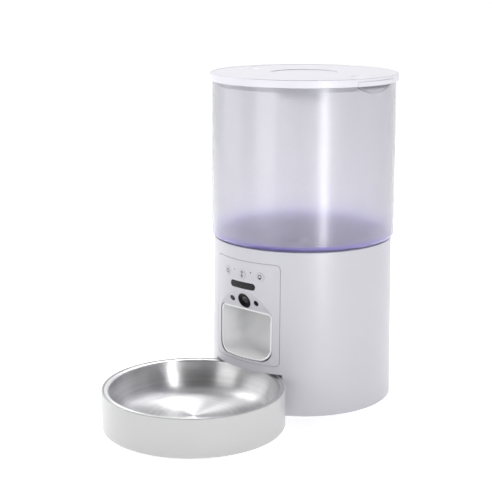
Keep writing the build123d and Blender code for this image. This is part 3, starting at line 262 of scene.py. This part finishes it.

# Frosted tank: the light is blurred in the wall, which is nearly neutral; towards the floor and foot it is
# painted darker and more violet, the tank's violet tint with painted shade from the light above.
tank_foot = 0.168
tank_clear = 0.200
s = Shader("frosted_tank")
drift = s.math("MULTIPLY", s.noise(16, 3), 1.2 * MM)
height = s.span(s.math("ADD", s.split(s.place)["Z"], drift), 0, 1, tank_foot, tank_clear)
# Painted shade: below tank_clear the colour turns darker and more violet down to the floor, the shade of
# light from above laid over the violet tint.
s.colour(
    s.ramp(
        height,
        (0.03, (0.52, 0.44, 0.95)),
        (0.10, (0.46, 0.38, 0.95)),
        (0.16, (0.54, 0.46, 0.97)),
        (0.22, (0.78, 0.74, 0.975)),
        (0.34, (0.83, 0.815, 0.90)),
        (1.0, (0.835, 0.83, 0.855)),
    )
)
s.rough(s.span(s.noise(9, 2), 0.21, 0.25))
s.bump(s.noise(12, 1), 1e-4, 0.02)
s.bump(s.noise(2200, 2), 1e-5, 0.25)
s.set(IOR=1.49, Transmission_Weight=0.88, Coat_Weight=0.6, Coat_Roughness=0.28)
tint = s.node("ShaderNodeVolumeAbsorption")
tint.inputs["Color"].default_value = (0.40, 0.36, 0.76, 1)
tint.inputs["Density"].default_value = 26.0
s.link(tint.outputs[0], s.out.inputs["Volume"])
finishes["tinted_clear"] = s

s = Shader("lens_glass")
from_lens = s.vector("DISTANCE", s.place, middle("camera_lens"), "Value")
ripple = s.math("MULTIPLY", s.noise(500, 2), 0.2 * MM)
# Painted reflections: the two lighter rings stand in for glints off the lens's inner rims; the rest is the
# lens's own black.
rings = s.span(s.math("ADD", from_lens, ripple), 0, 1, 0, 6 * MM)
s.colour(
    s.ramp(
        rings,
        (0.24, (0.004, 0.004, 0.006)),
        (0.30, (0.12, 0.12, 0.14)),
        (0.40, (0.012, 0.012, 0.016)),
        (0.62, (0.010, 0.010, 0.014)),
        (0.70, (0.09, 0.09, 0.10)),
        (0.80, (0.012, 0.012, 0.016)),
    )
)
s.rough(s.span(s.noise(300, 2), 0.02, 0.08))
s.set(Coat_Weight=1.0, Coat_Roughness=0.02, IOR=1.6)
finishes["lens_glass"] = s

s = Shader("light_pipe")
s.colour(s.ramp(s.noise(900, 2), (0.3, (0.26, 0.27, 0.29)), (0.7, (0.34, 0.35, 0.37))))
s.rough(s.span(s.noise(700, 2), 0.18, 0.32))
s.bump(s.noise(2400, 2), 1e-5, 0.3)
s.set(Transmission_Weight=0.25)
finishes["light_clear"] = s

bowl_middle = middle("steel_bowl")
s = turned(
    "spun_steel",
    (0.80, 0.80, 0.80),
    (0.68, 0.68, 0.69),
    0.36,
    (bowl_middle.x, bowl_middle.y, 0),
    Anisotropic=0.9,
    Anisotropic_Rotation=0.25,
)
tangent = s.node("ShaderNodeTangent", direction_type="RADIAL", axis="Z")
s.link(tangent.outputs[0], s.bsdf.inputs["Tangent"])
finishes["bowl_steel"] = s
finishes["steel"] = turned("turned_steel", (0.62, 0.62, 0.63), (0.48, 0.48, 0.50), 0.30, lines=9000)
finishes["brass"] = turned("sintered_brass", (0.66, 0.47, 0.20), (0.50, 0.34, 0.13), 0.38, lines=7000)

s = Shader("solder_mask")
lanes = s.node("ShaderNodeTexBrick", offset=0.5, squash=1.0)
lanes.inputs["Scale"].default_value = 260
lanes.inputs["Mortar Size"].default_value = 0.035
s.link(s.place, lanes.inputs["Vector"])
lanes.inputs["Color1"].default_value = (0.020, 0.115, 0.050, 1)
lanes.inputs["Color2"].default_value = (0.024, 0.135, 0.060, 1)
lanes.inputs["Mortar"].default_value = (0.045, 0.220, 0.100, 1)
s.colour(lanes.outputs["Color"])
s.rough(s.span(s.noise(160, 3), 0.26, 0.40))
s.bump(lanes.outputs["Fac"], 2e-5, 0.5)
finishes["board_green"] = s

s = Shader("cell_wrap")
band = s.math("GREATER_THAN", s.split(s.place)["X"], 13 * MM)
worn = s.math("MULTIPLY", s.noise(90, 4), 0.25)
shade = s.math("ADD", s.math("MULTIPLY", band, 0.7), worn)
s.colour(s.ramp(shade, (0.1, (0.035, 0.037, 0.045)), (0.6, (0.30, 0.31, 0.33))))
s.rough(s.span(s.noise(120, 3), 0.22, 0.36))
s.bump(s.noise(500, 2), 2e-5, 0.3)
s.set(Metallic=0.55, Coat_Weight=0.5)
finishes["cell_wrap"] = s

s = Shader("printed_grey")
s.colour(s.ramp(s.noise(2500, 2), (0.3, (0.014, 0.014, 0.016)), (0.7, (0.028, 0.028, 0.031))))
s.rough(s.span(s.noise(900, 2), 0.45, 0.6))
s.bump(s.noise(3000, 2), 1e-5, 0.3)
ink = s.material

for part in frame["record"]["subparts"]:
    mesh = nodes[part["node"]].data
    mesh.materials.clear()
    mesh.materials.append(finishes[part["material_slot"]].material)


# ---------------------------------------------------------------- printed icons and moulded marks
def on_surface(target, azimuth, height, across, up, lift):
    """The point of a node's outside that a ray towards the axis meets, lifted a little off it."""
    turn = Matrix.Rotation(math.radians(azimuth), 3, "Z")
    outward = turn @ Vector((0, -1, 0))
    side = turn @ Vector((1, 0, 0))
    start = outward * 0.2 + side * across + Vector((0, 0, height + up))
    hit = target.ray_cast(start, -outward)[0]
    return hit + outward * lift


def stroke(points, width):
    """A ribbon's edges along a line of points, as pairs; the width is one number or one per point."""
    path = [Vector(p) for p in points]
    pairs = []
    for i, p in enumerate(path):
        ahead = path[min(i + 1, len(path) - 1)] - path[max(i - 1, 0)]
        side = Vector((-ahead.y, ahead.x)).normalized()
        half = (width[i] if isinstance(width, (list, tuple)) else width) / 2
        pairs.append((p + side * half, p - side * half))
    return pairs


def arc(centre, radius, start, end, count=28):
    """Points along an arc between two angles in degrees."""
    angles = [math.radians(start + (end - start) * i / (count - 1)) for i in range(count)]
    return [(centre[0] + radius * math.cos(a), centre[1] + radius * math.sin(a)) for a in angles]


def printed(name, target_node, azimuth, height, ribbons, lift=3e-5, thick=2e-5, material=ink):
    """Thin ribbons, given in millimetres, that follow the surface they lie on."""
    target = BVHTree.FromObject(nodes[target_node], bpy.context.evaluated_depsgraph_get())
    verts, faces = [], []
    for pairs in ribbons:
        base = len(verts)
        for left, right in pairs:
            for p in (left, right):
                for out in (lift + thick, lift):
                    verts.append(on_surface(target, azimuth, height, p.x * MM, p.y * MM, out))
        for i in range(len(pairs) - 1):
            a = base + 4 * i
            faces += [
                (a, a + 2, a + 6, a + 4),
                (a + 1, a + 5, a + 7, a + 3),
                (a, a + 4, a + 5, a + 1),
                (a + 2, a + 3, a + 7, a + 6),
            ]
        last = base + 4 * (len(pairs) - 1)
        faces += [(base, base + 1, base + 3, base + 2), (last, last + 2, last + 3, last + 1)]
    mesh = bpy.data.meshes.new(name)
    mesh.from_pydata(verts, [], faces)
    mesh.validate()
    mesh.materials.append(material)
    return add_object(name, mesh)


def node_azimuth(node):
    m = middle(node)
    return math.degrees(math.atan2(m.x, -m.y))


def swelling(thin, more, count):
    """Widths that swell from thin and go back to it."""
    return [thin + more * math.sin(math.pi * i / (count - 1)) for i in range(count)]


icons = {
    "power_button": [
        stroke(arc((0, 0), 1.9, 122, 418, 40), 0.75),
        stroke([(0, 0.5), (0, 1.4), (0, 2.5)], 0.8),
    ],
    "wifi_button": [
        stroke(arc((0, 0.4), 2.3, 42, 138), 0.6),
        stroke(arc((0, 0.4), 1.2, 42, 138, 16), 0.6),
        stroke([(0, 1.0), (0, -0.4), (0, -1.6)], [0.5, 1.0, 0.5]),
        stroke(arc((0, -1.9), 1.0, 90, 450, 24), 0.7),
    ],
    "feed_button": [
        stroke(arc((0, 0.3), 1.75, -40, 220, 36), 0.75),
        stroke(arc((0, 0.3), 1.75, 215, 325, 24), swelling(0.6, 1.1, 24)),
    ],
}
for node, ribbons in icons.items():
    icon = printed(node.replace("button", "icon"), node, node_azimuth(node), middle(node).z, ribbons)
    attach(icon, node)

# Small moulded marks by the tank's foot: azimuth in degrees, height in metres, then the strokes.
marks = {
    "mark_lock": (-12.5, 0.1815, [stroke(arc((0, 0), 1.5, 40, 320, 24), 0.5)]),
    "mark_line": (
        4.6,
        0.1830,
        [
            stroke([(-1.6, 2.4), (-0.6, 0), (-1.2, -2.4)], 0.5),
            stroke([(0.2, 3.0), (0.7, 0), (0.4, -2.8)], 0.5),
            stroke([(2.0, 2.0), (2.4, 0.4), (2.2, -0.8)], 0.45),
        ],
    ),
    "mark_arrow": (15.5, 0.1818, [stroke([(-1.1, -0.6), (0, 0.8), (1.1, -0.6)], 0.5)]),
}
for name, (azimuth, height, ribbons) in marks.items():
    frosted = finishes["tinted_clear"].material
    mark = printed(name, "hopper", azimuth, height, ribbons, lift=1e-5, thick=6e-5, material=frosted)
    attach(mark, "hopper")

# ---------------------------------------------------------------- floor, light and camera
s = Shader("studio_floor")
s.colour(s.ramp(s.noise(2.5, 3), (0.3, (0.90, 0.90, 0.90)), (0.7, (0.92, 0.92, 0.92))))
s.rough(s.span(s.noise(9, 3), 0.75, 0.9))
s.bump(s.noise(160, 2), 5e-5, 0.2)
s.set(Emission_Color=(1, 1, 1, 1), Emission_Strength=0.52)
floor_mesh = bpy.data.meshes.new("floor")
corners = [(-1, -1), (1, -1), (1, 1), (-1, 1)]
floor_mesh.from_pydata([(x * FLOOR_HALF, y * FLOOR_HALF, 0) for x, y in corners], [], [(0, 1, 2, 3)])
floor_mesh.materials.append(s.material)
floor = add_object("floor", floor_mesh)

toward = outward_way(VIEW_AZIMUTH, VIEW_ELEVATION)
right = outward_way(VIEW_AZIMUTH + 90, 0)
camera_data = bpy.data.cameras.new("camera")
camera_data.lens = VIEW_LENS
camera_data.sensor_width = 36
camera_data.clip_end = 200
camera = add_object("camera", camera_data)
camera.location = right * AIM_SIDEWAYS + Vector((0, 0, AIM_HEIGHT)) + toward * VIEW_DISTANCE
camera.rotation_euler = (-toward).to_track_quat("-Z", "Y").to_euler()
bpy.context.scene.camera = camera


def softbox(name, turn, elevation, distance, width, height, power, target_height=0.16):
    """A soft rectangular lamp, turned from the camera's azimuth, that faces the object."""
    data = bpy.data.lights.new(name, "AREA")
    data.shape = "RECTANGLE"
    data.size, data.size_y = width, height
    data.energy = power
    lamp = add_object(name, data)
    way = outward_way(VIEW_AZIMUTH + turn, elevation)
    lamp.location = Vector((0, 0, target_height)) + way * distance
    lamp.rotation_euler = (-way).to_track_quat("-Z", "Y").to_euler()


softbox("strip_front", 21, 0, 0.62, 0.10, 0.70, 1.55, target_height=0.36)
softbox("box_left", -100, 18, 1.7, 1.2, 1.4, 4.5)
softbox("box_fill", -48, 8, 1.5, 0.7, 1.0, 4.5)
softbox("box_right", 120, 18, 1.7, 1.2, 1.4, 0.3)
softbox("box_back", 178, 48, 1.6, 0.6, 0.6, 7.0)
softbox("box_back_left", 232, 42, 1.6, 0.5, 0.6, 6.0)

# The room: white behind the object and all round the horizon, dim above and behind the camera.
world = bpy.data.worlds.new("studio")
world.use_nodes = True
sky = world.node_tree
place = sky.nodes.new("ShaderNodeTexCoord")
facing = sky.nodes.new("ShaderNodeVectorMath")
facing.operation = "DOT_PRODUCT"
facing.inputs[1].default_value = (right.y, -right.x, 0)
sky.links.new(place.outputs["Generated"], facing.inputs[0])
fade = sky.nodes.new("ShaderNodeMapRange")
fade.interpolation_type = "SMOOTHSTEP"
fade.inputs["From Min"].default_value = -0.7
fade.inputs["From Max"].default_value = 0.5
fade.inputs["To Min"].default_value = BACKDROP
fade.inputs["To Max"].default_value = CAMERA_SIDE
sky.links.new(facing.outputs["Value"], fade.inputs["Value"])
height = sky.nodes.new("ShaderNodeSeparateXYZ")
sky.links.new(place.outputs["Generated"], height.inputs[0])
above = sky.nodes.new("ShaderNodeMapRange")
above.inputs["From Min"].default_value = 0.06
above.inputs["From Max"].default_value = 0.24
above.inputs["To Min"].default_value = BACKDROP
sky.links.new(height.outputs["Z"], above.inputs["Value"])
sky.links.new(fade.outputs[0], above.inputs["To Max"])
glow = sky.nodes["Background"]
glow.inputs["Color"].default_value = (0.985, 0.985, 1.0, 1)
sky.links.new(above.outputs[0], glow.inputs["Strength"])
bpy.context.scene.world = world
bpy.context.scene.view_settings.view_transform = "Standard"
